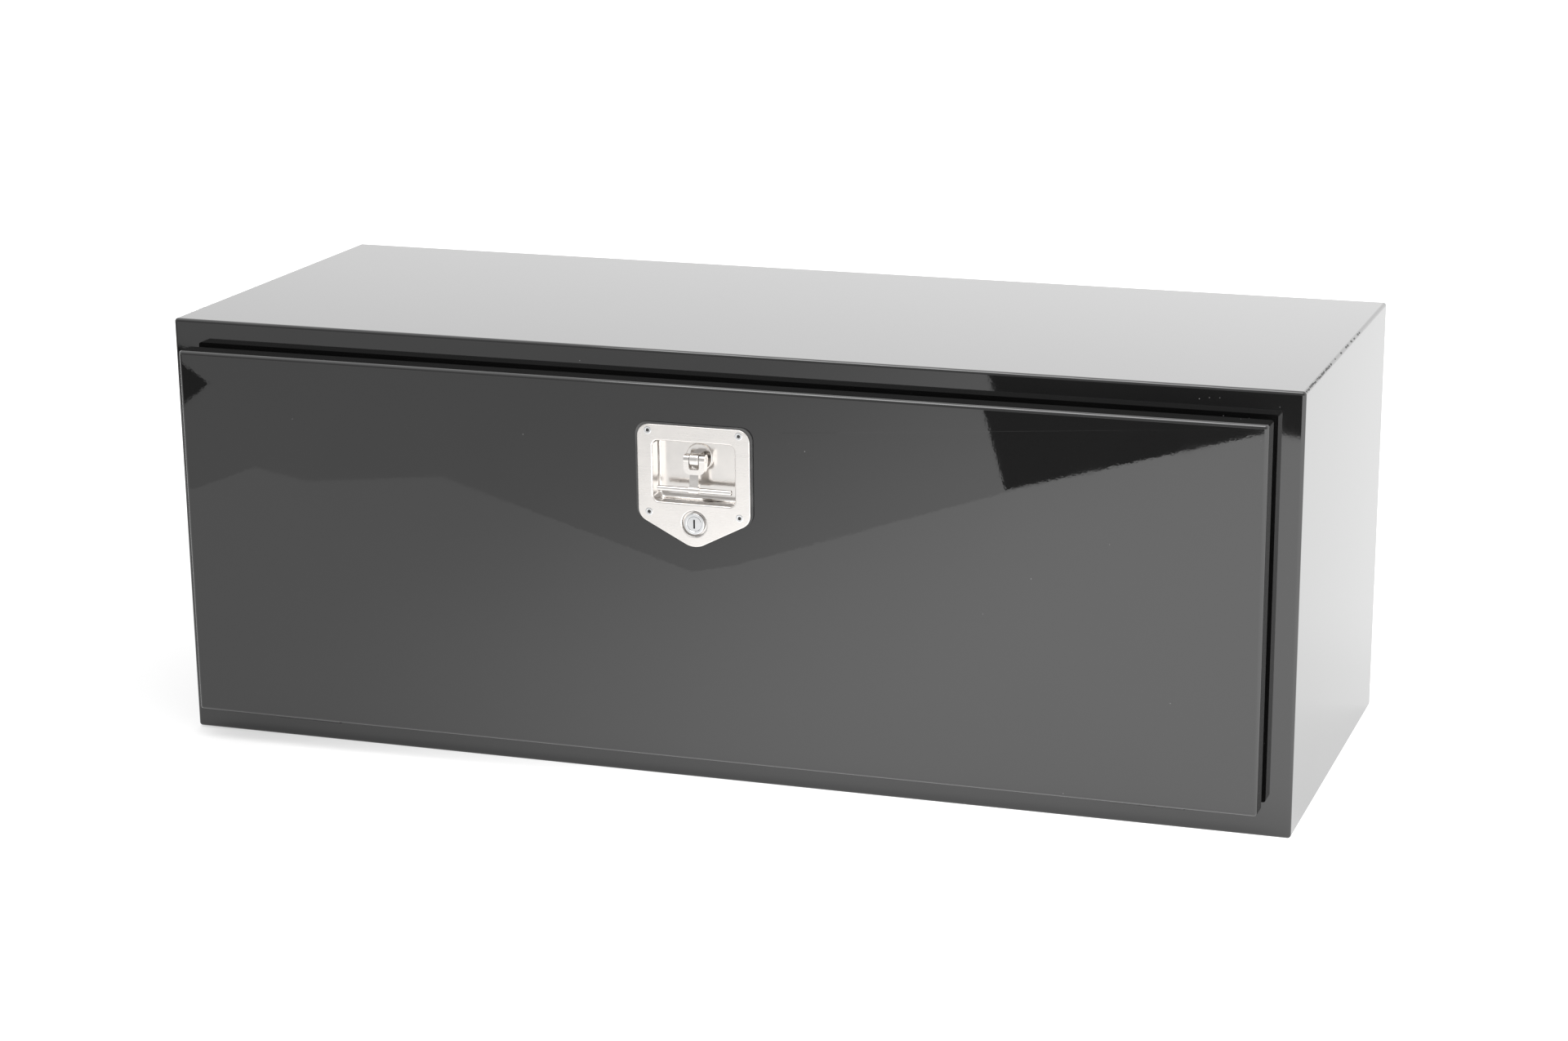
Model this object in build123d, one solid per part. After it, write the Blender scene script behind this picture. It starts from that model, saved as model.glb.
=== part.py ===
"""Underbody truck tool box with a drop-down door, in millimetres.

The origin is the centre of the box's underside. X runs along the box, the door faces -Y, and Z is up.
"""
from build123d import *
from math import hypot
import os

# Box body
BOX_WIDTH = 1219.2
BOX_DEPTH = 457.2
BOX_HEIGHT = 457.2
SHEET = 1.9
FOLD_RADIUS = 3.5
SEAM_INSET = 4.0
OPENING_HALF_WIDTH = 562.0
OPENING_BOTTOM = 54.0
OPENING_TOP = 408.0
OPENING_CORNER = 14.0
FRONT = -BOX_DEPTH / 2

# Door opening's lining and its seal
JAMB_SHEET = 1.5
JAMB_FORWARD = 4.0
JAMB_BACK = FRONT + 18.0
SEAL_LEG = 1.6
SEAL_FRONT = 5.2
SEAL_FRAME_GAP = 0.3
BULB_RADIUS = 3.1
BULB_CENTRE = 6.4

# Door
DOOR_WIDTH = 1168.4
DOOR_BOTTOM = 32.3
DOOR_TOP = 430.3
DOOR_SHIFT = -3.0
DOOR_GAP = 10.0
DOOR_THICKNESS = 25.4
DOOR_SHEET = 1.6
DOOR_FOLD = 4.0
DOOR_CORNER = 2.5
DOOR_HEM = 16.0
INNER_SHEET = 1.2
INNER_INSET = 3.0
DOOR_BACK = FRONT - DOOR_GAP
DOOR_FACE = DOOR_BACK - DOOR_THICKNESS
DOOR_HEIGHT = DOOR_TOP - DOOR_BOTTOM
DOOR_MIDDLE = (DOOR_TOP + DOOR_BOTTOM) / 2
STIFFENER_OFFSET = 290.0
STIFFENER_CROWN = 36.0
STIFFENER_FOOT = 16.0

# Hinges
HINGE_Y = FRONT - DOOR_GAP / 2
HINGE_Z = 26.3
HINGE_OFFSET = 467.5
HINGE_LENGTH = 76.2
HINGE_KNUCKLES = 5
KNUCKLE_GAP = 0.4
BARREL_RADIUS = 4.7
HINGE_PIN_RADIUS = 2.4
HINGE_PIN_END = 1.5
HINGE_PIN_SPREAD = 0.9
HINGE_PIN_HEAD = 1.0
HINGE_BORE_RADIUS = 2.45
LEAF_SHEET = 2.4
LEAF_TOP = 48.0
LEAF_SCREW_Z = 40.5
LEAF_SCREW_SHIFT = 4.0
SCREW_RADIUS = 2.0
SCREW_CLEARANCE = 0.15
SCREW_LENGTH = 9.0
SCREW_HEAD_RADIUS = 3.8
SCREW_HEAD_HEIGHT = 1.9
SCREW_NUT_FLATS = 7.0
SCREW_NUT_HEIGHT = 3.0
DRIVE_LENGTH = 4.4
DRIVE_WIDTH = 1.1
DRIVE_DEPTH = 1.2
NUT_BORE_GAP = 0.05

# Latch plate and its recess
LATCH_X = -6.0
PLATE_SHEET = 1.6
GASKET = 2.0
PLATE_HALF_WIDTH = 60.6
PLATE_TOP = 389.0
PLATE_SHOULDER = 291.7
PLATE_TIP = 260.6
PLATE_CORNER = 13.0
PLATE_SHOULDER_ROUND = 14.0
PLATE_TIP_ROUND = 22.0
PLATE_EDGE_ROUND = 0.9
PLATE_FRONT = DOOR_FACE - GASKET - PLATE_SHEET
GASKET_RIM = 2.4
GASKET_TOP_RIM = 1.8
RECESS_WIDTH = 89.0
RECESS_BOTTOM = 308.5
RECESS_TOP = 372.5
RECESS_DEPTH = 20.0
RECESS_CORNER = 6.5
RECESS_ROUND = 2.5
RIM_ROUND = 1.55
RECESS_MIDDLE = (RECESS_TOP + RECESS_BOTTOM) / 2
STUD_X = 49.0
STUD_ROWS = (297.2, 382.5)
STUD_RADIUS = 2.4
STUD_LENGTH = 11.0
STUD_NUT_FLATS = 8.0
STUD_NUT_HEIGHT = 3.6
STUD_WASHER_RADIUS = 4.9
STUD_WASHER = 1.0
DIMPLE_RADIUS = 1.1
DIMPLE_DEPTH = 0.6

# Spindle, cam and handle
SPINDLE_Z = 353.5
SPINDLE_RADIUS = 5.0
SPINDLE_BORE = 5.06
COLLAR_RADIUS = 14.5
COLLAR_HEIGHT = 2.6
COLLAR_BARREL = 8.0
COLLAR_TAIL = 5.0
COLLAR_ROUND = 1.2
LUG_WIDTH = 9.6
LUG_ROUND = 6.8
LUG_GAP = 0.2
LUG_EDGE_ROUND = 0.8
LUG_BACK = PLATE_FRONT + RECESS_DEPTH - COLLAR_HEIGHT - LUG_GAP
YOKE_WIDTH = 22.6
YOKE_ROUND = 5.8
YOKE_DROP = 15.5
YOKE_SHOULDER = 6.4
YOKE_SLOT = 11.0
YOKE_SLOT_DROP = 10.3
YOKE_SLOT_ROUND = 2.0
HANDLE_PIN_Y = PLATE_FRONT + 7.0
HANDLE_PIN_RADIUS = 2.5
HANDLE_PIN_BORE = 2.56
HANDLE_PIN_CHAMFER = 0.4
HANDLE_REACH = 31.4
HANDLE_TILT = 8.7
HANDLE_BOSS_WALL = 1.1
HANDLE_BOSS_LENGTH = 11.0
STEM_WIDTH = 9.4
STEM_THICKNESS = 5.6
HANDLE_BAR_RADIUS = 2.7
HANDLE_BAR_LENGTH = 80.0
HANDLE_BAR_ROUND = 0.6
HANDLE_BAR_FIT = 0.03
BAR_DIMPLE = 1.3
CAM_FRONT = JAMB_BACK + 0.8
CAM_SHEET = 5.0
CAM_WIDTH = 20.0
CAM_REACH = 62.0
TENON = 8.0
TENON_SHORT = 0.2
CAM_WASHER = 1.2
CAM_WASHER_RADIUS = 8.5
CAM_RAMP = 1.2
CAM_NUT_FLATS = 13.0
CAM_NUT_HEIGHT = 5.0
CAM_THREAD_RADIUS = 3.9
CAM_THREAD_PROUD = 1.2
CAM_THREAD_CHAMFER = 0.6

# Lock
LOCK_Z = 287.6
LOCK_CUP_RADIUS = 13.3
LOCK_CUP_DEPTH = 6.0
LOCK_HEAD_RADIUS = 11.1
LOCK_PROUD = 0.8
LOCK_BARREL_RADIUS = 9.4
PLUG_RADIUS = 7.8
PLUG_BORE = 7.86
PLUG_CHAMFER = 0.4
LOCK_HEAD_ROUND = 1.0
LOCK_MOUTH_CHAMFER = 0.5
LOCK_BACK = PLATE_FRONT + 25.0
LOCK_NUT_FLATS = 25.0
LOCK_NUT_HEIGHT = 4.0
KEY_SLOT = (1.9, 9.4)
KEY_SLOT_DEPTH = 4.0
PLUG_INSET = 0.5
PLUG_TAIL = 0.6
TONGUE_SHEET = 2.4
TONGUE_WIDTH = 14.0
TONGUE_LENGTH = 32.0
TONGUE_DROP = 7.0
TONGUE_SCREW_RADIUS = 1.95
TONGUE_SCREW_HEAD = 3.6
TONGUE_SCREW_HEIGHT = 2.2
TONGUE_SCREW_DEPTH = 4.5

# Catch behind the opening's top edge
STRIKE_LENGTH = 120.0
STRIKE_SHEET = 2.5
STRIKE_HEIGHT = 20.0

SIDES = {"left": -1, "right": 1}

# How far a cutting solid runs past the metal, how deep two joined solids sink into each other,
# how wide a hole is beyond what passes through it, and how far apart equal places may be
CUT = 1.0
SINK = 0.2
HOLE_GAP = 0.1
NEAR = 0.01


def filled(sketch, front, back):
    """A sketch drawn in X and Z, filled from one depth to another."""
    return extrude(Plane.XZ.offset(-back) * sketch, amount=back - front)


def rectangle(x_middle, z_low, z_high, width, corner=0.0):
    """A rectangle drawn in X and Z, with round corners if corner is more than 0."""
    height = z_high - z_low
    shape = RectangleRounded(width, height, corner) if corner else Rectangle(width, height)
    return Pos(x_middle, (z_low + z_high) / 2) * shape


def disc(x, z, radius):
    """A circle drawn in X and Z."""
    return Pos(x, z) * Circle(radius)


def hexagon(x, z, flats):
    """A hexagon drawn in X and Z, given by its width across flats."""
    return Pos(x, z) * RegularPolygon(flats / 2, 6, major_radius=False)


def along_x(x_middle, y, z, radius, length):
    """A round bar that lies along X."""
    return Pos(x_middle, y, z) * Rot(0, 90, 0) * Cylinder(radius, length)


# ---------------------------------------------------------------- box body

def box_shell():
    """The closed sheet-metal box with its door opening cut out."""
    middle = Pos(0, 0, BOX_HEIGHT / 2)
    outside = Box(BOX_WIDTH, BOX_DEPTH, BOX_HEIGHT)
    outside = middle * fillet(outside.edges(), FOLD_RADIUS)
    hollow = Box(BOX_WIDTH - 2 * SHEET, BOX_DEPTH - 2 * SHEET, BOX_HEIGHT - 2 * SHEET)
    hollow = middle * fillet(hollow.edges(), FOLD_RADIUS - SHEET)
    return outside - hollow - opening(0, FRONT - SHEET, FRONT + 2 * SHEET)


def opening(inset, front, back):
    """The door opening's outline, made smaller by an inset, filled between two depths."""
    outline = rectangle(
        0,
        OPENING_BOTTOM + inset,
        OPENING_TOP - inset,
        2 * (OPENING_HALF_WIDTH - inset),
        OPENING_CORNER - inset,
    )
    return filled(outline, front, back)


def end_zone(side):
    """The room that an end panel takes: the end itself and its flange beside the door."""
    end = Pos(side * (BOX_WIDTH - SEAM_INSET) / 2, 0, BOX_HEIGHT / 2)
    flange_width = BOX_WIDTH / 2 - OPENING_HALF_WIDTH + OPENING_CORNER
    flange = Pos(
        side * (BOX_WIDTH - flange_width) / 2,
        FRONT + SEAM_INSET / 2,
        BOX_HEIGHT / 2,
    )
    end *= Box(SEAM_INSET, BOX_DEPTH, BOX_HEIGHT)
    return end + flange * Box(flange_width, SEAM_INSET, BOX_HEIGHT)


def wrap_zone(name):
    """The room that the top, back or bottom sheet takes between the ends."""
    back = Pos(0, (BOX_DEPTH - SEAM_INSET) / 2, BOX_HEIGHT / 2) * Box(BOX_WIDTH, SEAM_INSET, BOX_HEIGHT)
    if name == "back":
        return back
    height = BOX_HEIGHT * (3 if name == "top" else 1) / 4
    return Pos(0, -SEAM_INSET / 2, height) * Box(BOX_WIDTH, BOX_DEPTH - SEAM_INSET, BOX_HEIGHT / 2)


def door_jamb():
    """The strip that lines the opening and carries the seal on its front edge."""
    front = FRONT - JAMB_FORWARD
    return opening(0, front, JAMB_BACK) - opening(JAMB_SHEET, front - CUT, JAMB_BACK + CUT)


def bulb_seal():
    """The push-on seal: a channel over the jamb's front edge and a round bulb before it."""
    back = FRONT - SEAL_FRAME_GAP
    front = FRONT - SEAL_FRONT
    channel = opening(-SEAL_LEG, front, back)
    channel -= opening(JAMB_SHEET + SEAL_LEG, front - CUT, back + CUT)
    inset = JAMB_SHEET / 2
    loop = rectangle(
        0,
        OPENING_BOTTOM + inset,
        OPENING_TOP - inset,
        2 * (OPENING_HALF_WIDTH - inset),
        OPENING_CORNER - inset,
    )
    path = (Plane.XZ.offset(BULB_CENTRE - FRONT) * loop).wire()
    bulb = sweep(Plane(path @ 0, z_dir=path % 0) * Circle(BULB_RADIUS), path=path)
    return channel + bulb - door_jamb()


def strike_plate():
    """The folded catch on the opening's top edge that the cam turns behind."""
    foot = rectangle(LATCH_X, OPENING_TOP, OPENING_TOP + STRIKE_SHEET, STRIKE_LENGTH)
    wall = rectangle(LATCH_X, OPENING_TOP, OPENING_TOP + STRIKE_HEIGHT, STRIKE_LENGTH)
    return filled(foot, FRONT + SHEET, JAMB_BACK) + filled(wall, JAMB_BACK - STRIKE_SHEET, JAMB_BACK)


# ---------------------------------------------------------------- hinges

def hinge_x(side):
    """The middle of one hinge."""
    return DOOR_SHIFT + side * HINGE_OFFSET


def leaf_screws(side, first):
    """The places of one leaf's two screws, staggered from the other leaf's."""
    shift = LEAF_SCREW_SHIFT if first else -LEAF_SCREW_SHIFT
    return [hinge_x(side) + place * HINGE_LENGTH / 4 + shift for place in (-1, 1)]


def knuckles(side, on_frame):
    """The middles of the knuckles that belong to one leaf."""
    pitch = HINGE_LENGTH / HINGE_KNUCKLES
    first = 0 if on_frame else 1
    start = hinge_x(side) - HINGE_LENGTH / 2 + pitch / 2
    return [start + pitch * index for index in range(first, HINGE_KNUCKLES, 2)]


def hinge_leaf(side, on_frame):
    """One leaf with its knuckles, flat against the frame or against the door."""
    length = HINGE_LENGTH / HINGE_KNUCKLES - KNUCKLE_GAP
    back = FRONT if on_frame else DOOR_BACK + LEAF_SHEET
    front = back - LEAF_SHEET
    above_barrel = HINGE_Z + BARREL_RADIUS + KNUCKLE_GAP
    leaf = filled(rectangle(hinge_x(side), above_barrel, LEAF_TOP, HINGE_LENGTH), front, back)
    for middle in knuckles(side, on_frame):
        leaf += filled(rectangle(middle, HINGE_Z, above_barrel, length), front, back)
        leaf += along_x(middle, HINGE_Y, HINGE_Z, BARREL_RADIUS, length)
    leaf -= along_x(hinge_x(side), HINGE_Y, HINGE_Z, HINGE_BORE_RADIUS, 2 * HINGE_LENGTH)
    for x in leaf_screws(side, on_frame):
        leaf -= filled(disc(x, LEAF_SCREW_Z, SCREW_RADIUS + SCREW_CLEARANCE), front - CUT, back + CUT)
    return leaf


def hinge_pin(side):
    """The hinge's pin, with its ends spread a little."""
    half = HINGE_LENGTH / 2 + HINGE_PIN_END
    pin = along_x(hinge_x(side), HINGE_Y, HINGE_Z, HINGE_PIN_RADIUS, 2 * half)
    spread = HINGE_PIN_RADIUS + HINGE_PIN_SPREAD
    for end in (-1, 1):
        head_x = hinge_x(side) + end * (half - HINGE_PIN_HEAD / 2)
        pin += along_x(head_x, HINGE_Y, HINGE_Z, spread, HINGE_PIN_HEAD)
    return pin


def leaf_screw(x, on_frame):
    """One screw with its low round head on the leaf; its nut is a separate piece."""
    leaf_face = FRONT - LEAF_SHEET if on_frame else DOOR_BACK + LEAF_SHEET
    outward = -1 if on_frame else 1
    tip = leaf_face - outward * SCREW_LENGTH
    head = leaf_face + outward * SCREW_HEAD_HEIGHT
    shank = filled(disc(x, LEAF_SCREW_Z, SCREW_RADIUS), min(leaf_face, tip), max(leaf_face, tip))
    cap = filled(disc(x, LEAF_SCREW_Z, SCREW_HEAD_RADIUS), min(leaf_face, head), max(leaf_face, head))
    rim = cap.edges().filter_by(GeomType.CIRCLE).sort_by(Axis.Y)
    cap = fillet(rim[0] if on_frame else rim[-1], SCREW_HEAD_HEIGHT * 0.7)
    return shank + cap - Pos(x, head, LEAF_SCREW_Z) * Rot(90, 0, 0) * cross_drive()


def cross_drive():
    """The cross-shaped recess in a screw's head, centred on the head's face."""
    bar = Box(DRIVE_LENGTH, DRIVE_WIDTH, 2 * DRIVE_DEPTH)
    return bar + Rot(0, 0, 90) * bar


def leaf_nut(x, on_frame):
    """The nut on one screw, behind the frame's flange or inside the door."""
    near = FRONT + SHEET if on_frame else DOOR_BACK - INNER_SHEET - SCREW_NUT_HEIGHT
    nut = filled(hexagon(x, LEAF_SCREW_Z, SCREW_NUT_FLATS), near, near + SCREW_NUT_HEIGHT)
    bore = disc(x, LEAF_SCREW_Z, SCREW_RADIUS + NUT_BORE_GAP)
    return nut - filled(bore, near - CUT, near + SCREW_NUT_HEIGHT + CUT)


def hinge_group(make, on_frame):
    """The same fastener at every screw place of the frame leaves or of the door leaves."""
    places = [x for side in SIDES.values() for x in leaf_screws(side, on_frame)]
    return Compound(children=[make(x, on_frame) for x in places])


def screw_holes(on_frame, front, back):
    """The screw holes through the sheet behind the leaves."""
    places = [x for side in SIDES.values() for x in leaf_screws(side, on_frame)]
    radius = SCREW_RADIUS + SCREW_CLEARANCE
    holes = [filled(disc(x, LEAF_SCREW_Z, radius), front, back) for x in places]
    return Compound(children=holes)


# ---------------------------------------------------------------- door

def door_block(inset, front, back):
    """The door's outline, made smaller by an inset, filled between two depths."""
    outline = rectangle(DOOR_SHIFT, DOOR_BOTTOM + inset, DOOR_TOP - inset, DOOR_WIDTH - 2 * inset)
    return filled(outline, front, back)


def door_outer_pan():
    """The door's outer sheet, folded back all round and hemmed behind the edge."""
    back = DOOR_BACK - INNER_SHEET
    pan = door_block(0, DOOR_FACE, back)
    pan = fillet(pan.edges().filter_by(Axis.Y), DOOR_CORNER)
    pan = fillet(pan.faces().sort_by(Axis.Y)[0].edges(), DOOR_FOLD)
    hollow = door_block(DOOR_SHEET, DOOR_FACE + DOOR_SHEET, back - DOOR_SHEET)
    hollow = fillet(hollow.edges().filter_by(Axis.Y), DOOR_CORNER - DOOR_SHEET)
    hollow = fillet(hollow.faces().sort_by(Axis.Y)[0].edges(), DOOR_FOLD - DOOR_SHEET)
    pan -= hollow
    pan -= door_block(DOOR_SHEET + DOOR_HEM, back - 2 * DOOR_SHEET, back + CUT)
    pan -= latch_cutouts(DOOR_FACE - CUT, DOOR_FACE + 2 * DOOR_SHEET)
    nut_reach = SCREW_NUT_HEIGHT + 2 * DOOR_SHEET
    pan -= nut_windows(back - nut_reach, back + CUT)
    return pan


def nut_windows(front, back):
    """The gaps in the door's hem that clear the hinge nuts."""
    windows = [
        filled(rectangle(x, DOOR_BOTTOM + DOOR_SHEET + 1, LEAF_SCREW_Z + 12.0, 14.0), front, back)
        for side in SIDES.values()
        for x in leaf_screws(side, False)
    ]
    return Compound(children=windows)


def latch_cutouts(front, back):
    """The holes in the door's face for the recess, the lock and the plate's studs."""
    margin = PLATE_SHEET + 1.6
    recess = rectangle(
        LATCH_X,
        RECESS_BOTTOM - margin,
        RECESS_TOP + margin,
        RECESS_WIDTH + 2 * margin,
        RECESS_CORNER + margin,
    )
    cuts = [filled(recess, front, back)]
    cuts.append(filled(disc(LATCH_X, LOCK_Z, LOCK_CUP_RADIUS + PLATE_SHEET + 1.0), front, back))
    for x, z in stud_places():
        cuts.append(filled(disc(x, z, STUD_RADIUS + 0.3), front, back))
    return Compound(children=cuts)


def door_inner_panel():
    """The flat sheet that closes the door's back, open behind the latch."""
    front = DOOR_BACK - INNER_SHEET
    panel = door_block(INNER_INSET, front, DOOR_BACK)
    panel = fillet(panel.edges().filter_by(Axis.Y), INNER_INSET)
    access = rectangle(LATCH_X, PLATE_TIP - 2.0, PLATE_TOP + 5.0, 2 * PLATE_HALF_WIDTH + 8.0, 10.0)
    panel -= filled(access, front - CUT, DOOR_BACK + CUT)
    return panel - screw_holes(False, front - CUT, DOOR_BACK + CUT)


def door_stiffener(side):
    """A hat-section upright between the door's two sheets."""
    front = DOOR_FACE + DOOR_SHEET
    back = DOOR_BACK - INNER_SHEET
    wall = INNER_SHEET
    middle = DOOR_SHIFT + side * STIFFENER_OFFSET
    crown = Pos(middle, (front + back) / 2) * Rectangle(STIFFENER_CROWN, back - front)
    inside = Rectangle(STIFFENER_CROWN - 2 * wall, back - front - wall)
    inside = Pos(middle, (front + wall + back) / 2) * inside
    feet = Pos(middle, back - wall / 2) * Rectangle(STIFFENER_CROWN + 2 * STIFFENER_FOOT, wall)
    low = DOOR_BOTTOM + DOOR_SHEET + DOOR_HEM + 1.0
    high = DOOR_TOP - DOOR_SHEET - DOOR_HEM - 1.0
    return Pos(0, 0, low) * extrude(crown + feet - inside, amount=high - low)


# ---------------------------------------------------------------- latch plate

def stud_places():
    """The plate's four studs."""
    return [(LATCH_X + end * STUD_X, z) for end in (-1, 1) for z in STUD_ROWS]


def plate_outline(rim, top_rim):
    """The plate's outline: a rectangle whose bottom runs down to a blunt point."""
    half = PLATE_HALF_WIDTH + rim
    slope = (PLATE_SHOULDER - PLATE_TIP) / PLATE_HALF_WIDTH
    shoulder = PLATE_TIP + slope * half
    top = PLATE_TOP + top_rim
    corners = [(-half, top), (half, top), (half, shoulder), (0, PLATE_TIP), (-half, shoulder)]
    outline = Pos(LATCH_X, 0) * make_face(Polyline(*corners, close=True))
    points = outline.vertices().sort_by(Axis.Y)
    outline = fillet([points[0]], PLATE_TIP_ROUND)
    low = [
        point
        for point in outline.vertices()
        if abs(abs(point.X - LATCH_X) - half) < NEAR and point.Y < top - CUT
    ]
    outline = fillet(low, PLATE_SHOULDER_ROUND)
    high = [point for point in outline.vertices() if point.Y > top - NEAR]
    return fillet(high, PLATE_CORNER)


def latch_gasket():
    """The rubber sheet between the plate and the door."""
    gasket = filled(plate_outline(GASKET_RIM, GASKET_TOP_RIM), DOOR_FACE - GASKET, DOOR_FACE)
    return gasket - latch_cutouts(DOOR_FACE - GASKET - CUT, DOOR_FACE + CUT)


def latch_pan():
    """The pressed stainless plate with the handle's recess and the lock's cup."""
    wall = PLATE_SHEET
    plate = filled(plate_outline(0, 0), PLATE_FRONT, PLATE_FRONT + wall)
    plate = fillet(plate.faces().sort_by(Axis.Y)[0].edges(), PLATE_EDGE_ROUND)
    floor = PLATE_FRONT + RECESS_DEPTH
    tub = rectangle(
        LATCH_X,
        RECESS_BOTTOM - wall,
        RECESS_TOP + wall,
        RECESS_WIDTH + 2 * wall,
        RECESS_CORNER + wall,
    )
    tub = filled(tub, PLATE_FRONT + SINK, floor + wall)
    tub = fillet(tub.faces().sort_by(Axis.Y)[-1].edges(), RECESS_ROUND + wall)
    hollow = rectangle(LATCH_X, RECESS_BOTTOM, RECESS_TOP, RECESS_WIDTH, RECESS_CORNER)
    hollow = filled(hollow, PLATE_FRONT - CUT, floor)
    hollow = fillet(hollow.faces().sort_by(Axis.Y)[-1].edges(), RECESS_ROUND)
    seat = PLATE_FRONT + LOCK_CUP_DEPTH
    cup = filled(disc(LATCH_X, LOCK_Z, LOCK_CUP_RADIUS + wall), PLATE_FRONT + SINK, seat + wall)
    pan = plate + tub + cup - hollow
    pan -= filled(disc(LATCH_X, LOCK_Z, LOCK_CUP_RADIUS), PLATE_FRONT - CUT, seat)
    pan -= filled(disc(LATCH_X, LOCK_Z, LOCK_BARREL_RADIUS + HOLE_GAP), PLATE_FRONT, seat + 2 * wall)
    pan -= filled(disc(LATCH_X, SPINDLE_Z, COLLAR_BARREL + HOLE_GAP), floor - CUT, floor + 2 * wall)
    rims = [
        edge
        for edge in pan.edges().group_by(Axis.Y)[0]
        if edge.center().Y < PLATE_FRONT + NEAR and inside_plate(edge)
    ]
    pan = fillet(rims, RIM_ROUND)
    for x, z in stud_places():
        dimple = Cone(DIMPLE_RADIUS / 2, DIMPLE_RADIUS, 2 * DIMPLE_DEPTH)
        pan -= Pos(x, PLATE_FRONT, z) * Rot(90, 0, 0) * dimple
    return pan


def inside_plate(edge):
    """True for the front edges of the recess and of the lock's cup."""
    middle = edge.center()
    in_width = abs(middle.X - LATCH_X) < RECESS_WIDTH / 2 + NEAR
    in_recess = RECESS_BOTTOM - NEAR < middle.Z < RECESS_TOP + NEAR
    in_cup = hypot(middle.X - LATCH_X, middle.Z - LOCK_Z) < LOCK_CUP_RADIUS + NEAR
    return (in_width and in_recess) or in_cup


def latch_studs():
    """The four studs on the plate's back."""
    front = PLATE_FRONT + PLATE_SHEET
    studs = [filled(disc(x, z, STUD_RADIUS), front, front + STUD_LENGTH) for x, z in stud_places()]
    return Compound(children=studs)


def latch_nuts():
    """A washer-faced nut on each stud, inside the door."""
    near = DOOR_FACE + DOOR_SHEET
    face = near + STUD_WASHER
    far = face + STUD_NUT_HEIGHT
    nuts = []
    for x, z in stud_places():
        nut = filled(disc(x, z, STUD_WASHER_RADIUS), near, face)
        nut += filled(hexagon(x, z, STUD_NUT_FLATS), face, far)
        nuts.append(nut - filled(disc(x, z, STUD_RADIUS + NUT_BORE_GAP), near - CUT, far + CUT))
    return Compound(children=nuts)


def spindle_collar():
    """The round bush that the spindle turns in, on the recess's back wall."""
    floor = PLATE_FRONT + RECESS_DEPTH
    front = floor - COLLAR_HEIGHT
    back = floor + COLLAR_TAIL
    head = filled(disc(LATCH_X, SPINDLE_Z, COLLAR_RADIUS), front, floor)
    head = fillet(head.faces().sort_by(Axis.Y)[0].edges(), COLLAR_ROUND)
    collar = head + filled(disc(LATCH_X, SPINDLE_Z, COLLAR_BARREL), floor, back)
    return collar - filled(disc(LATCH_X, SPINDLE_Z, SPINDLE_BORE), front - CUT, back + CUT)


# ---------------------------------------------------------------- spindle and cam

def side_profile(sketch, width):
    """A sketch drawn in Y and Z, filled along X to a width about the latch's middle."""
    return extrude(Plane.YZ.offset(LATCH_X) * sketch, amount=width / 2, both=True)


def spindle():
    """The lug that the handle's yoke straddles, the shaft, the cam's square tenon and the thread."""
    reach = LUG_BACK - HANDLE_PIN_Y
    lug = Pos(HANDLE_PIN_Y, SPINDLE_Z) * Circle(LUG_ROUND)
    lug += Pos(HANDLE_PIN_Y + reach / 2, SPINDLE_Z) * Rectangle(reach, 2 * LUG_ROUND)
    head = side_profile(lug, LUG_WIDTH)
    head = fillet(head.faces().filter_by(Axis.X).edges(), LUG_EDGE_ROUND)
    head -= along_x(LATCH_X, HANDLE_PIN_Y, SPINDLE_Z, HANDLE_PIN_BORE, 2 * LUG_WIDTH)
    shaft = filled(disc(LATCH_X, SPINDLE_Z, SPINDLE_RADIUS), LUG_BACK - SINK, CAM_FRONT)
    tenon_back = CAM_FRONT + CAM_SHEET - TENON_SHORT
    tenon = rectangle(LATCH_X, SPINDLE_Z - TENON / 2, SPINDLE_Z + TENON / 2, TENON)
    tenon &= disc(LATCH_X, SPINDLE_Z, SPINDLE_RADIUS)
    tenon = filled(tenon, CAM_FRONT - SINK, tenon_back)
    thread_end = CAM_FRONT + CAM_SHEET + CAM_WASHER + CAM_NUT_HEIGHT + CAM_THREAD_PROUD
    thread = filled(disc(LATCH_X, SPINDLE_Z, CAM_THREAD_RADIUS), tenon_back - SINK, thread_end)
    thread = chamfer(thread.faces().sort_by(Axis.Y)[-1].edges(), CAM_THREAD_CHAMFER)
    return head + shaft + tenon + thread


def handle_pin():
    """The pin that the handle folds on, pressed through the spindle's lug."""
    pin = along_x(LATCH_X, HANDLE_PIN_Y, SPINDLE_Z, HANDLE_PIN_RADIUS, YOKE_WIDTH)
    return chamfer(pin.edges().filter_by(GeomType.CIRCLE), HANDLE_PIN_CHAMFER)


def cam_arm():
    """The flat arm that turns behind the catch. It lies level, clear of the catch."""
    reach = CAM_REACH
    outline = Pos(LATCH_X + reach / 2, SPINDLE_Z) * SlotCenterToCenter(reach, CAM_WIDTH)
    arm = filled(outline, CAM_FRONT, CAM_FRONT + CAM_SHEET)
    hole = Pos(LATCH_X, SPINDLE_Z) * Rectangle(TENON + HOLE_GAP, TENON + HOLE_GAP)
    hole &= disc(LATCH_X, SPINDLE_Z, SPINDLE_BORE)
    arm -= filled(hole, CAM_FRONT - CUT, CAM_FRONT + CAM_SHEET + CUT)
    tip = arm.edges().filter_by(GeomType.CIRCLE).sort_by(Axis.X)[-2:]
    return chamfer(tip.sort_by(Axis.Y)[0], CAM_RAMP)


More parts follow.
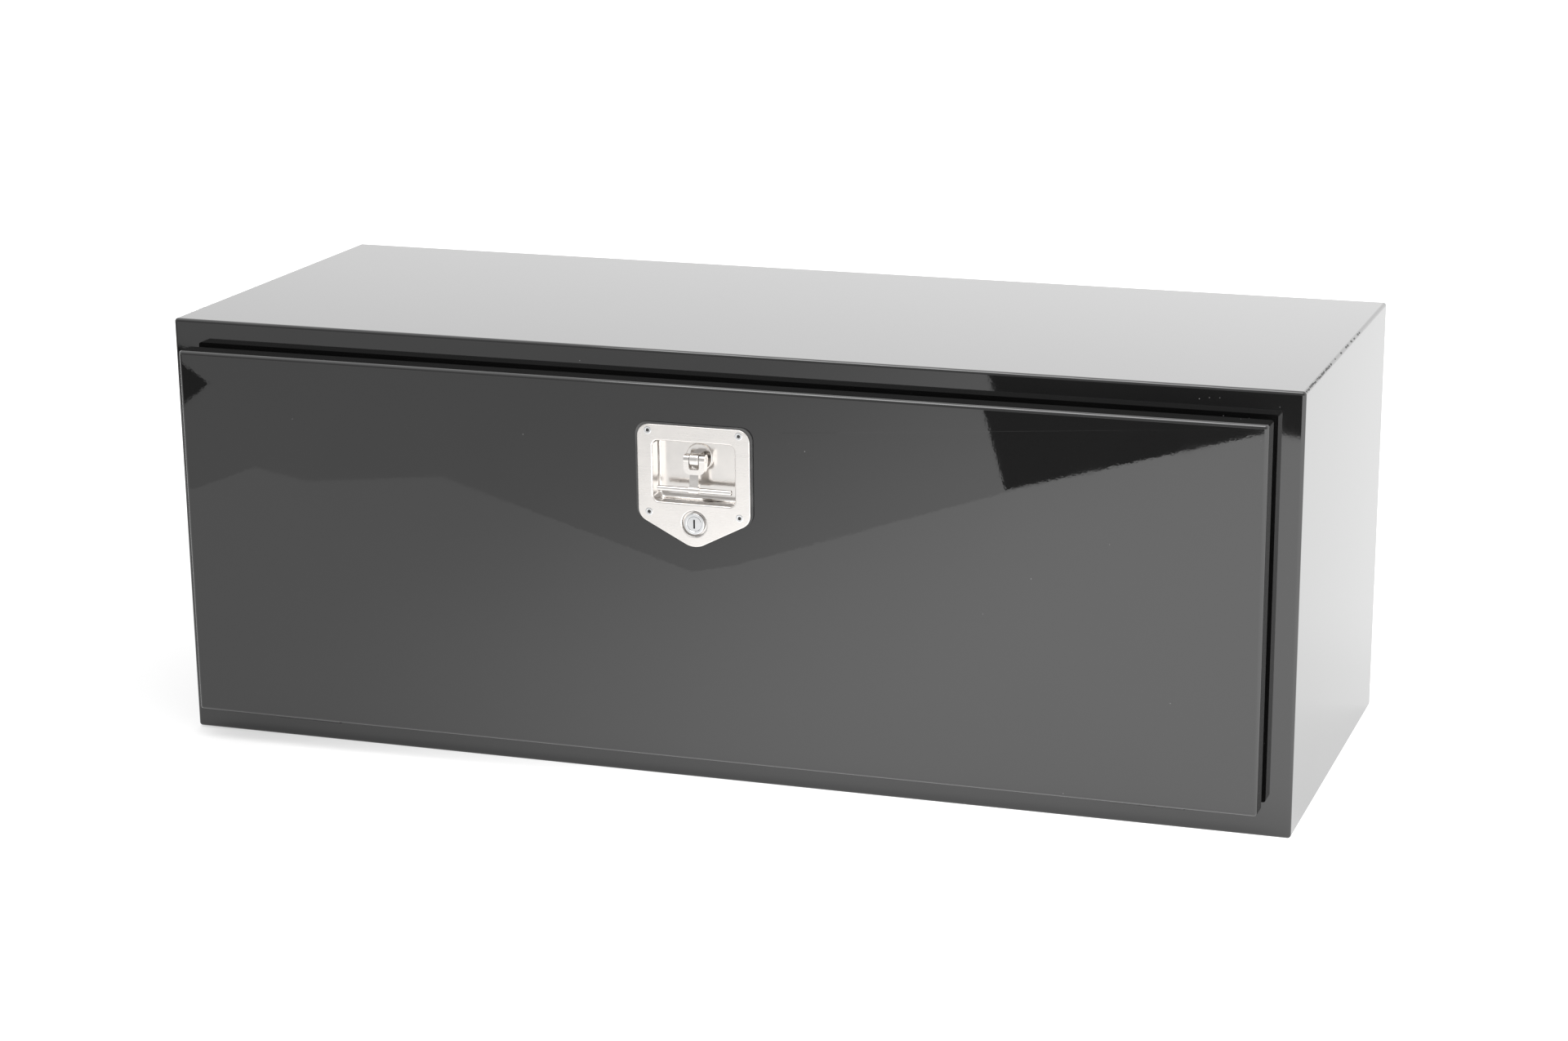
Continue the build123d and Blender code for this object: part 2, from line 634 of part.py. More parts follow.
def cam_washer():
    """The washer behind the cam."""
    front = CAM_FRONT + CAM_SHEET
    ring = disc(LATCH_X, SPINDLE_Z, CAM_WASHER_RADIUS)
    ring -= disc(LATCH_X, SPINDLE_Z, CAM_THREAD_RADIUS + HOLE_GAP)
    return filled(ring, front, front + CAM_WASHER)


def cam_nut():
    """The nut that holds the cam on its tenon."""
    front = CAM_FRONT + CAM_SHEET + CAM_WASHER
    back = front + CAM_NUT_HEIGHT
    nut = filled(hexagon(LATCH_X, SPINDLE_Z, CAM_NUT_FLATS), front, back)
    bore = disc(LATCH_X, SPINDLE_Z, CAM_THREAD_RADIUS + NUT_BORE_GAP)
    return nut - filled(bore, front - CUT, back + CUT)


# ---------------------------------------------------------------- handle

def at_handle(piece):
    """A piece drawn with the fold axis at its origin and the stem down -Z, moved to its folded place."""
    return Pos(LATCH_X, HANDLE_PIN_Y, SPINDLE_Z) * Rot(-HANDLE_TILT, 0, 0) * piece


def across_handle(z, radius, length):
    """A round bar along X at a height on the handle, before the handle is moved to its place."""
    return Pos(0, 0, z) * Cylinder(radius, length, rotation=(0, 90, 0))


def handle_stem():
    """The handle's yoke and the flat stem that the bar goes through."""
    half = STEM_THICKNESS / 2
    sides = [(YOKE_ROUND, 0), (half, -YOKE_DROP), (-half, -YOKE_DROP), (-YOKE_ROUND, 0)]
    profile = Circle(YOKE_ROUND) + make_face(Polyline(*sides, close=True))
    front = rectangle(0, -YOKE_DROP, YOKE_ROUND, YOKE_WIDTH)
    front = fillet(front.vertices().group_by(Axis.Y)[0], YOKE_SHOULDER)
    yoke = extrude(Plane.YZ * profile, amount=YOKE_WIDTH / 2, both=True)
    yoke &= filled(front, -YOKE_ROUND, YOKE_ROUND)
    stem = filled(rectangle(0, -HANDLE_REACH, SINK - YOKE_DROP, STEM_WIDTH), -half, half)
    boss = across_handle(-HANDLE_REACH, HANDLE_BAR_RADIUS + HANDLE_BOSS_WALL, HANDLE_BOSS_LENGTH)
    slot = rectangle(0, -YOKE_SLOT_DROP, 3 * YOKE_ROUND, YOKE_SLOT, YOKE_SLOT_ROUND)
    shape = yoke + stem + boss - filled(slot, -2 * YOKE_ROUND, 2 * YOKE_ROUND)
    shape -= across_handle(0, HANDLE_PIN_BORE, 2 * YOKE_WIDTH)
    shape -= across_handle(-HANDLE_REACH, HANDLE_BAR_RADIUS + HANDLE_BAR_FIT, 2 * HANDLE_BOSS_LENGTH)
    return at_handle(shape)


def handle_bar():
    """The round cross bar, with a centre-drilled dimple in each end."""
    bar = Cylinder(HANDLE_BAR_RADIUS, HANDLE_BAR_LENGTH, rotation=(0, 90, 0))
    bar = fillet(bar.edges().filter_by(GeomType.CIRCLE), HANDLE_BAR_ROUND)
    for end in (-1, 1):
        drill = Pos(end * HANDLE_BAR_LENGTH / 2, 0, 0) * Rot(0, -90 * end, 0)
        bar -= drill * Cone(BAR_DIMPLE, BAR_DIMPLE / 4, 2 * BAR_DIMPLE)
    return at_handle(Pos(0, 0, -HANDLE_REACH) * bar)


# ---------------------------------------------------------------- lock

def lock_disc(radius, front, back):
    """A round solid about the lock's axis."""
    return filled(disc(LATCH_X, LOCK_Z, radius), front, back)


def lock_housing():
    """The lock's round head in the cup and its barrel through the door."""
    seat = PLATE_FRONT + LOCK_CUP_DEPTH
    head = lock_disc(LOCK_HEAD_RADIUS, PLATE_FRONT - LOCK_PROUD, seat)
    head = fillet(head.faces().sort_by(Axis.Y)[0].edges(), LOCK_HEAD_ROUND)
    body = head + lock_disc(LOCK_BARREL_RADIUS, seat, LOCK_BACK)
    body -= lock_disc(PLUG_BORE, PLATE_FRONT - LOCK_PROUD - CUT, LOCK_BACK + CUT)
    circles = body.faces().sort_by(Axis.Y)[0].edges().filter_by(GeomType.CIRCLE)
    return chamfer(circles.sort_by(SortBy.RADIUS)[0], LOCK_MOUTH_CHAMFER)


def lock_nut():
    """The thin nut that pulls the lock's head into its cup."""
    near = PLATE_FRONT + LOCK_CUP_DEPTH + PLATE_SHEET
    far = near + LOCK_NUT_HEIGHT
    nut = filled(hexagon(LATCH_X, LOCK_Z, LOCK_NUT_FLATS), near, far)
    return nut - lock_disc(LOCK_BARREL_RADIUS + NUT_BORE_GAP, near - CUT, far + CUT)


def lock_plug():
    """The turning plug with its key slot."""
    front = PLATE_FRONT - LOCK_PROUD + PLUG_INSET
    back = LOCK_BACK + PLUG_TAIL
    plug = lock_disc(PLUG_RADIUS, front, back)
    plug = chamfer(plug.faces().sort_by(Axis.Y)[0].edges(), PLUG_CHAMFER)
    width, height = KEY_SLOT
    slot = rectangle(LATCH_X, LOCK_Z - height / 2, LOCK_Z + height / 2, width)
    plug -= filled(slot, front - CUT, front + KEY_SLOT_DEPTH)
    return plug - lock_disc(TONGUE_SCREW_RADIUS + NUT_BORE_GAP, back - TONGUE_SCREW_DEPTH - CUT, back + CUT)


def lock_tongue():
    """The flat tongue on the plug's tail. It hangs down when the lock is open."""
    front = LOCK_BACK + PLUG_TAIL
    back = front + TONGUE_SHEET
    outline = Rot(0, 0, 90) * SlotOverall(TONGUE_LENGTH, TONGUE_WIDTH)
    tongue = filled(Pos(LATCH_X, LOCK_Z - TONGUE_DROP) * outline, front, back)
    return tongue - lock_disc(TONGUE_SCREW_RADIUS + HOLE_GAP, front - CUT, back + CUT)


def lock_screw():
    """The screw that holds the tongue on the plug."""
    front = LOCK_BACK + PLUG_TAIL + TONGUE_SHEET
    head = lock_disc(TONGUE_SCREW_HEAD, front, front + TONGUE_SCREW_HEIGHT)
    head = fillet(head.faces().sort_by(Axis.Y)[-1].edges(), TONGUE_SCREW_HEIGHT / 2)
    return head + lock_disc(TONGUE_SCREW_RADIUS, LOCK_BACK + PLUG_TAIL - TONGUE_SCREW_DEPTH, front)


# ---------------------------------------------------------------- all nodes

def box_nodes():
    """Every piece that stays with the box."""
    shell = box_shell() - screw_holes(True, FRONT - CUT, FRONT + 2 * SHEET)
    zones = {name: end_zone(side) for name, side in SIDES.items()}
    wrap = shell - zones["left"] - zones["right"]
    nodes = {f"shell_{name}": wrap & wrap_zone(name) for name in ("top", "back", "bottom")}
    for name, side in SIDES.items():
        nodes[f"end_panel_{name}"] = shell & zones[name]
        nodes[f"hinge_frame_leaf_{name}"] = hinge_leaf(side, True)
        nodes[f"hinge_pin_{name}"] = hinge_pin(side)
    nodes["door_jamb"] = door_jamb()
    nodes["bulb_seal"] = bulb_seal()
    nodes["strike_plate"] = strike_plate()
    nodes["hinge_frame_screws"] = hinge_group(leaf_screw, True)
    nodes["hinge_frame_nuts"] = hinge_group(leaf_nut, True)
    return nodes


def door_nodes():
    """Every piece that swings with the door."""
    nodes = {
        "door_outer_pan": door_outer_pan(),
        "door_inner_panel": door_inner_panel(),
        "hinge_door_screws": hinge_group(leaf_screw, False),
        "hinge_door_nuts": hinge_group(leaf_nut, False),
        "latch_gasket": latch_gasket(),
        "latch_pan": latch_pan(),
        "latch_studs": latch_studs(),
        "latch_nuts": latch_nuts(),
        "spindle_collar": spindle_collar(),
        "lock_housing": lock_housing(),
        "lock_nut": lock_nut(),
    }
    for name, side in SIDES.items():
        nodes[f"hinge_door_leaf_{name}"] = hinge_leaf(side, False)
        nodes[f"door_stiffener_{name}"] = door_stiffener(side)
    return nodes


def latch_nodes():
    """Every piece that turns or folds in the latch."""
    return {
        "spindle": spindle(),
        "handle_pin": handle_pin(),
        "cam_arm": cam_arm(),
        "cam_washer": cam_washer(),
        "cam_nut": cam_nut(),
        "handle_stem": handle_stem(),
        "handle_bar": handle_bar(),
        "lock_plug": lock_plug(),
        "lock_tongue": lock_tongue(),
        "lock_screw": lock_screw(),
    }


os.makedirs("parts", exist_ok=True)
for node, shape in {**box_nodes(), **door_nodes(), **latch_nodes()}.items():
    export_step(shape, f"parts/{node}.step")
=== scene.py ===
"""Looks of the underbody truck tool box, in metres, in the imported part's own frame.

The origin is the centre of the box's underside. X runs along the box, the door faces -Y, and
Z is up.
"""

import math
import random

import bpy
from mathutils import Matrix, Vector


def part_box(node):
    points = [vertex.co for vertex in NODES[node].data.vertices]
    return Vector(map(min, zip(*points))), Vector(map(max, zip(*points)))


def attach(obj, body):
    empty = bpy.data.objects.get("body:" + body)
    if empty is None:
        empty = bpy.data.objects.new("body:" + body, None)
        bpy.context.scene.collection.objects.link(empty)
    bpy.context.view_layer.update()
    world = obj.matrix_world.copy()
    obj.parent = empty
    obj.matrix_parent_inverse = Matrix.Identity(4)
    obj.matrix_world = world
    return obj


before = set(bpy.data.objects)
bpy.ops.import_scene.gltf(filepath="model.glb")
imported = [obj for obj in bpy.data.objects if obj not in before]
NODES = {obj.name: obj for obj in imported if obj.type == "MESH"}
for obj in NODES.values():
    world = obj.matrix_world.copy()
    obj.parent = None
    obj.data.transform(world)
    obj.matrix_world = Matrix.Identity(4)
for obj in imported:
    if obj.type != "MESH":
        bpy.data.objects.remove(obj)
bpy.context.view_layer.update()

MM = 0.001

# Camera: lens and sensor in millimetres, shift in shares of the picture's width, angles in degrees
LENS = 79.81
SENSOR = 36.0
SHIFT = (-0.0307, 0.0932)
CAMERA_PLACE = Vector((1.2064, -3.4707, 1.2029))
CAMERA_AZIMUTH = 18.397
CAMERA_ELEVATION = 17.335
CAMERA_ROLL = -0.329
CLIP_END = 60.0

# Room: how bright it is to the left and elsewhere, the share of that in front, and the directions
# between which it changes, as the X and Y of a unit vector
SKY_LEFT = 1.5
SKY_RIGHT = 1.92
FRONT_SHARE = 0.35
SKY_TURN_X = (-0.5, -0.15)
SKY_TURN_Y = (-0.8, -0.3)

# Overhead panel
PANEL_PLACE = Vector((-0.1, -0.9, 2.4))
PANEL_TARGET = Vector((0.0, -0.3, 0.0))
PANEL_SIZE = (1.6, 1.0)
PANEL_RADIANCE = 4.5

# Floor: its height, half its side, the step up to each sheet on it, the paper's grey, the share of
# the floor's brightness that the far paper has, and the grey of the dark sheets that paint shade into
# the door's mirror
FLOOR_Z = -0.0012
FLOOR_HALF = 9.0
SHEET_STEP = 0.0004
PAPER_GRAY = 0.35
FAR_SHARE = 0.80
SHADE_SHEET_GRAY = 0.03

# How strongly the paper glows at the left and at the right, what is added in front of the box, beside
# its right end and behind it, and the share that shade takes from the light beside it at the back
GLOW_LEFT = 0.46
GLOW_RIGHT = 1.04
GLOW_AHEAD = 0.54
GLOW_BESIDE = 0.22
GLOW_BEHIND = 0.5
SHADE_SHARE = 0.8

# Studs behind the latch plate
STUD_RADIUS = 2.4 * MM

# The dark leaf in the key slot, painted shade of the slot
SLOT_SHADE_INSET = 0.9 * MM
SLOT_SHADE_DIP = 0.25 * MM
SLOT_SHADE_HALF_WIDTH = 0.93 * MM
SLOT_SHADE_HALF_HEIGHT = 4.65 * MM
SLOT_SHADE_STEPS = 6

# Welds on the fold along the top of the end panels: from near the front edge, close together up to
# one place, then sparser up to the last
FOLD_RADIUS = 3.5 * MM
WELD_INSET = 8 * MM
WELD_DENSE_END = -0.10
WELD_END = 0.085
WELD_SPARSE = 3.5
WELD_CORNERS = 9
WELD_SINK = -0.03 * MM

# Spot welds: how far in from a stiffener's sides, and how many in a row
SPOT_INSET = 8 * MM
SPOTS = 7

# Places on the object that the pieces below need
PLATE_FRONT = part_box("latch_pan")[0].y
LATCH_X = sum(corner.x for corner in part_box("latch_pan")) / 2


# ---------------------------------------------------------------- materials

class Finish:
    """A material whose nodes are made step by step. Its coordinates are the part's own frame."""

    def __init__(self, name, **values):
        self.material = bpy.data.materials.new(name)
        self.material.use_nodes = True
        self.nodes = self.material.node_tree.nodes
        self.links = self.material.node_tree.links
        self.shader = self.nodes["Principled BSDF"]
        self.place = self.nodes.new("ShaderNodeTexCoord").outputs["Object"]
        self.relief = None
        for key, value in values.items():
            self.shader.inputs[key.replace("_", " ")].default_value = value

    def node(self, kind, output, settings=(), inputs=()):
        """One node. Each input is a number, a colour or another node's output."""
        made = self.nodes.new(kind)
        for key, value in dict(settings).items():
            setattr(made, key, value)
        for key, value in dict(inputs).items():
            if isinstance(value, bpy.types.NodeSocket):
                self.links.new(value, made.inputs[key])
            else:
                made.inputs[key].default_value = value
        return made.outputs[output]

    def scaled(self, stretch):
        """The frame's coordinates, stretched along each axis."""
        inputs = {"Vector": self.place, "Scale": stretch}
        return self.node("ShaderNodeMapping", "Vector", (), inputs)

    def noise(self, size, detail=2.0, stretch=(1, 1, 1)):
        """Cloudy noise whose blotches are about size metres across."""
        inputs = {"Vector": self.scaled(stretch), "Scale": 1 / size, "Detail": detail}
        return self.node("ShaderNodeTexNoise", "Fac", (), inputs)

    def cells(self, size):
        """Distance to the nearest of scattered points that are about size metres apart."""
        inputs = {"Vector": self.place, "Scale": 1 / size}
        return self.node("ShaderNodeTexVoronoi", "Distance", (), inputs)

    def math(self, operation, first, second=0.0):
        """One operation on two values."""
        return self.node("ShaderNodeMath", 0, {"operation": operation}, {0: first, 1: second})

    def fit(self, value, low, high, out_low=0.0, out_high=1.0):
        """A value whose range is fitted smoothly to another range."""
        inputs = {
            "Value": value,
            "From Min": low,
            "From Max": high,
            "To Min": out_low,
            "To Max": out_high,
        }
        settings = {"interpolation_type": "SMOOTHSTEP"}
        return self.node("ShaderNodeMapRange", "Result", settings, inputs)

    def axis(self, name):
        """The frame's X, Y or Z."""
        return self.node("ShaderNodeSeparateXYZ", name, (), {"Vector": self.place})

    def ramp(self, name, start, end, at_start=0.0, at_end=1.0):
        """A value that changes smoothly between two places on the frame's X, Y or Z."""
        return self.fit(self.axis(name), start, end, at_start, at_end)

    def mix(self, share, first, second):
        """Two colours mixed. The node's colour sockets are its seventh and eighth inputs."""
        return self.node("ShaderNodeMix", 2, {"data_type": "RGBA"}, {0: share, 6: first, 7: second})

    def set(self, key, value):
        """Joins a node's output to the shader."""
        self.links.new(value, self.shader.inputs[key])

    def bump(self, height, depth):
        """Adds relief of a depth in metres on top of what is there."""
        inputs = {"Height": height, "Distance": depth, "Strength": 1.0}
        if self.relief is not None:
            inputs["Normal"] = self.relief
        self.relief = self.node("ShaderNodeBump", "Normal", (), inputs)
        self.set("Normal", self.relief)


def gray(value, warm=0.0):
    """A grey, a little warm or cold."""
    return (value * (1 + warm), value, value * (1 - warm), 1.0)


def gloss_paint(name, base, haze):
    """Gloss black enamel with orange peel, slight haze and a few specks of dust."""
    paint = Finish(name, IOR=1.65)
    specks = paint.fit(paint.cells(size=12 * MM), low=0.045, high=0.02)
    rare = paint.fit(paint.noise(size=50 * MM, detail=1.0), low=0.60, high=0.66)
    dust = paint.math("MULTIPLY", specks, rare)
    cloud = paint.noise(size=110 * MM, detail=4.0)
    tone = paint.mix(cloud, gray(base * 0.8), gray(base * 1.25, warm=0.01))
    paint.set("Base Color", paint.mix(dust, tone, gray(0.28)))
    smears = paint.noise(size=160 * MM, detail=5.0, stretch=(1.0, 1.0, 1.8))
    smears = paint.fit(smears, low=0.35, high=0.75, out_low=haze, out_high=haze + 0.03)
    paint.set("Roughness", paint.math("ADD", smears, paint.math("MULTIPLY", dust, 0.4)))
    paint.bump(paint.noise(size=380 * MM, detail=1.0), depth=0.25 * MM)
    paint.bump(paint.noise(size=6.5 * MM, detail=1.5), depth=0.004 * MM)
    paint.bump(paint.noise(size=2.2 * MM, detail=1.0), depth=0.0022 * MM)
    paint.bump(dust, depth=0.05 * MM)
    return paint.material


def pressed_stainless(name):
    """Satin stainless sheet, brighter and smoother where the press has drawn it into the recess."""
    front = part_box("latch_pan")[0].y
    steel = Finish(name, Metallic=1.0)
    drawn = steel.ramp("Y", start=front + 0.6 * MM, end=front + 3 * MM)
    grain = steel.noise(size=1.6 * MM, detail=6.0, stretch=(0.035, 1.0, 1.0))
    cloud = steel.noise(size=20 * MM, detail=3.0)
    steel.set("Base Color", steel.mix(cloud, gray(0.63, warm=0.03), gray(0.72, warm=0.04)))
    satin = steel.fit(grain, low=0.2, high=0.8, out_low=0.24, out_high=0.36)
    bright = steel.fit(cloud, low=0.3, high=0.7, out_low=0.13, out_high=0.22)
    inputs = {"Value": drawn, "From Min": 0.0, "From Max": 1.0, "To Min": satin, "To Max": bright}
    steel.set("Roughness", steel.node("ShaderNodeMapRange", "Result", (), inputs))
    steel.bump(grain, depth=0.006 * MM)
    steel.bump(steel.noise(size=30 * MM, detail=1.0), depth=0.09 * MM)
    return steel.material


def bright_chrome(name):
    """Polished plating with faint buffing marks."""
    chrome = Finish(name, Metallic=1.0)
    cloud = chrome.noise(size=10 * MM, detail=3.0)
    chrome.set("Base Color", chrome.mix(cloud, gray(0.58, warm=-0.005), gray(0.68, warm=-0.01)))
    buffed = chrome.noise(size=4 * MM, detail=5.0)
    buffed = chrome.fit(buffed, low=0.3, high=0.75, out_low=0.05, out_high=0.16)
    chrome.set("Roughness", buffed)
    chrome.bump(chrome.noise(size=4 * MM, detail=3.0), depth=0.02 * MM)
    return chrome.material


def zinc_plate(name):
    """Bright zinc plating: cool, cloudy, with small crystals."""
    zinc = Finish(name, Metallic=1.0)
    cloud = zinc.noise(size=6 * MM, detail=5.0)
    zinc.set("Base Color", zinc.mix(cloud, (0.42, 0.44, 0.46, 1.0), (0.66, 0.66, 0.64, 1.0)))
    zinc.set("Roughness", zinc.fit(cloud, low=0.3, high=0.7, out_low=0.26, out_high=0.44))
    zinc.bump(zinc.cells(size=1.1 * MM), depth=0.015 * MM)
    return zinc.material


def soft_rubber(name, base, grain):
    """Matte black rubber with a fine grain and a bloom of chalk."""
    rubber = Finish(name, IOR=1.52)
    rubber.shader.inputs["Specular IOR Level"].default_value = 0.45
    bloom = rubber.fit(rubber.noise(size=30 * MM, detail=5.0), low=0.42, high=0.8)
    rubber.set("Base Color", rubber.mix(bloom, gray(base), gray(base * 1.7, warm=0.01)))
    worn = rubber.noise(size=9 * MM, detail=4.0)
    rubber.set("Roughness", rubber.fit(worn, low=0.3, high=0.7, out_low=0.48, out_high=0.68))
    rubber.bump(rubber.noise(size=grain, detail=3.0), depth=0.06 * MM)
    return rubber.material


FINISHES = {
    "box_paint": gloss_paint("box_paint_looks", base=0.005, haze=0.02),
    "door_paint": gloss_paint("door_paint_looks", base=0.0052, haze=0.01),
    "stainless": pressed_stainless("stainless_looks"),
    "chrome": bright_chrome("chrome_looks"),
    "zinc": zinc_plate("zinc_looks"),
    "rubber": soft_rubber("rubber_looks", base=0.016, grain=0.9 * MM),
    "gasket": soft_rubber("gasket_looks", base=0.05, grain=0.7 * MM),
}


def finish_cad_nodes():
    """Gives each CAD node the finish of its slot."""
    for node in NODES.values():
        for place in node.material_slots:
            slot_name = place.material.name.split(".")[0]
            place.material = FINISHES[slot_name]


# ---------------------------------------------------------------- mesh helpers

def new_piece(name, points, faces, slot_name, body, smooth=True):
    """A mesh piece that takes a slot's finish and rides on a body."""
    mesh = bpy.data.meshes.new(name)
    mesh.from_pydata([tuple(point) for point in points], [], faces)
    mesh.update()
    for polygon in mesh.polygons:
        polygon.use_smooth = smooth
    piece = bpy.data.objects.new(name, mesh)
    bpy.context.scene.collection.objects.link(piece)
    mesh.materials.append(FINISHES[slot_name])
    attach(piece, body)


def turned(profile, middle, sides):
    """Points and faces of a round piece about an axis along Y.

    The profile holds a radius and a depth for each ring, in millimetres.
    """
    points = []
    faces = []
    for radius, depth in profile:
        for side in range(sides):
            angle = math.tau * side / sides
            point = Vector((radius * math.cos(angle), depth, radius * math.sin(angle)))
            points.append(middle + point * MM)
    for ring in range(len(profile) - 1):
        for side in range(sides):
            here = ring * sides + side
            beside = ring * sides + (side + 1) % sides
            faces.append((here, here + sides, beside + sides, beside))
    return points, faces


def joined(parts):
    """Several lots of points and faces as one."""
    points = []
    faces = []
    for part_points, part_faces in parts:
        start = len(points)
        points.extend(part_points)
        faces.extend(tuple(start + index for index in face) for face in part_faces)
    return points, faces


# ---------------------------------------------------------------- pieces

def stud_marks():
    """The low rim that each stud leaves in the latch plate, and a dark disc in each pit that is
    painted shade.
    """
    low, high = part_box("latch_studs")
    half_x = (high.x - low.x) / 2 - STUD_RADIUS
    half_z = (high.z - low.z) / 2 - STUD_RADIUS
    middle_z = (high.z + low.z) / 2
    middles = [
        Vector((LATCH_X + across * half_x, PLATE_FRONT, middle_z + up * half_z))
        for across in (-1, 1)
        for up in (-1, 1)
    ]
    rim = [
        (1.80, 0.10),
        (1.86, -0.08),
        (2.20, -0.16),
        (2.60, -0.04),
        (3.10, -0.22),
        (3.60, -0.12),
        (4.00, 0.02),
    ]
    # Flat black discs just in front of the plate: painted shade in the stud pits
    pit_shade_profile = [(1.88, -0.04), (0.70, -0.03), (0.01, -0.02)]
    rims = [turned(rim, middle, sides=40) for middle in middles]
    pit_shades = [turned(pit_shade_profile, middle, sides=20) for middle in middles]
    new_piece("stud_rims", *joined(rims), "chrome", "door")
    new_piece("stud_pit_shades", *joined(pit_shades), "rubber", "door")


def key_slot_shade():
    """A dark leaf across the key slot just inside the plug: painted shade in the slot."""
    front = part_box("lock_plug")[0].y + SLOT_SHADE_INSET
    middle_z = sum(corner.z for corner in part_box("lock_housing")) / 2
    points = []
    steps = range(SLOT_SHADE_STEPS)
    for step in range(SLOT_SHADE_STEPS + 1):
        across = 2 * step / SLOT_SHADE_STEPS - 1
        x = LATCH_X + across * SLOT_SHADE_HALF_WIDTH
        y = front + SLOT_SHADE_DIP * (1 - across**2)
        points.append(Vector((x, y, middle_z - SLOT_SHADE_HALF_HEIGHT)))
        points.append(Vector((x, y, middle_z + SLOT_SHADE_HALF_HEIGHT)))
    faces = [(2 * step, 2 * step + 2, 2 * step + 3, 2 * step + 1) for step in steps]
    new_piece("key_slot_shade", points, faces, "rubber", "lock_plug")


def on_fold(core, side, place, angle, lift):
    """A point on the rounded top edge of an end panel, by its angle from straight up."""
    reach = FOLD_RADIUS + lift
    x = core.x + side * reach * math.sin(angle)
    return Vector((x, place, core.z + reach * math.cos(angle)))


def weld_marks(name, side, seed):
    """Rough spots where the end panel's weld was ground back, along the top edge's front half."""
    dice = random.Random(seed)
    low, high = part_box("end_panel_" + name)
    core = Vector((high.x if side > 0 else low.x, 0, high.z)) - Vector((side, 0, 1)) * FOLD_RADIUS
    size = WELD_CORNERS
    faces = [(c, (c + 1) % size, size + (c + 1) % size, size + c) for c in range(size)]
    faces += [(size + c, size + (c + 1) % size, 2 * size) for c in range(size)]
    parts = []
    place = low.y + WELD_INSET
    while place < WELD_END:
        length = dice.uniform(2.0, 6.0) * MM
        spread = math.radians(dice.uniform(16.0, 30.0))
        rise = dice.uniform(0.10, 0.22) * MM
        middle = math.radians(dice.uniform(38.0, 52.0))
        points = []
        for share, lift in ((1.0, WELD_SINK), (0.55, rise)):
            for corner in range(size):
                turn = math.tau * corner / size
                reach = share * dice.uniform(0.75, 1.1)
                along = place + length * reach * math.cos(turn)
                angle = middle + spread * reach * math.sin(turn)
                points.append(on_fold(core, side, along, angle, lift))
        points.append(on_fold(core, side, place, middle, rise / 2))
        parts.append((points, faces))
        spacing = 1.0 if place < WELD_DENSE_END else WELD_SPARSE
        place += dice.uniform(2.0, 9.0) * MM * spacing
    new_piece("weld_marks_" + name, *joined(parts), "rubber", "box", smooth=False)


def spot_welds():
    """The shallow craters that hold the stiffeners to the door's inner panel."""
    panel_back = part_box("door_inner_panel")[1].y
    crater = [(3.9, -0.02), (3.2, 0.16), (2.4, 0.34), (1.3, 0.12), (0.02, 0.16)]
    parts = []
    for name in ("left", "right"):
        low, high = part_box("door_stiffener_" + name)
        for x in (low.x + SPOT_INSET, high.x - SPOT_INSET):
            for step in range(SPOTS):
                share = step / (SPOTS - 1)
                z = low.z + 2 * SPOT_INSET + (high.z - low.z - 4 * SPOT_INSET) * share
                parts.append(turned(crater, Vector((x, panel_back, z)), sides=24))
    new_piece("spot_welds", *joined(parts), "door_paint", "door")


# ---------------------------------------------------------------- stage

def flat(name, outline, z, material):
    """A flat sheet on the floor, which isn't part of the object."""
    mesh = bpy.data.meshes.new(name)
    mesh.from_pydata([(x, y, z) for x, y in outline], [], [tuple(range(len(outline)))])
    sheet = bpy.data.objects.new(name, mesh)
    bpy.context.scene.collection.objects.link(sheet)
    mesh.materials.append(material)
    return sheet


def paper(name, share):
    """Matte studio paper that glows unevenly. The gloss sides of the box mirror that glow."""
    paint = gray(share * PAPER_GRAY)
    sheet = Finish(name, Base_Color=paint, Roughness=0.9, Emission_Color=gray(1.0))
    rightward = sheet.ramp("X", -0.95, 0.5, at_start=GLOW_LEFT * share, at_end=GLOW_RIGHT * share)
    ahead = sheet.math("MULTIPLY", sheet.ramp("X", -0.7, 0.2), sheet.ramp("Y", -0.1, -0.42))
    ahead = sheet.math("MULTIPLY", ahead, GLOW_AHEAD * share)
    beside = sheet.ramp("X", 0.56, 0.9, at_end=GLOW_BESIDE)
    shade = sheet.math("MULTIPLY", sheet.ramp("Y", -0.3, 0.35), beside)
    beside = sheet.math("SUBTRACT", beside, sheet.math("MULTIPLY", shade, SHADE_SHARE))
    behind = sheet.ramp("Y", 0.3, 0.9, at_end=GLOW_BEHIND)
    behind = sheet.math("MULTIPLY", behind, sheet.ramp("X", 0.5, -0.2))
    glow = sheet.math("ADD", sheet.math("ADD", rightward, ahead), sheet.math("ADD", beside, behind))
    sheet.set("Emission Strength", glow)
    return sheet.material


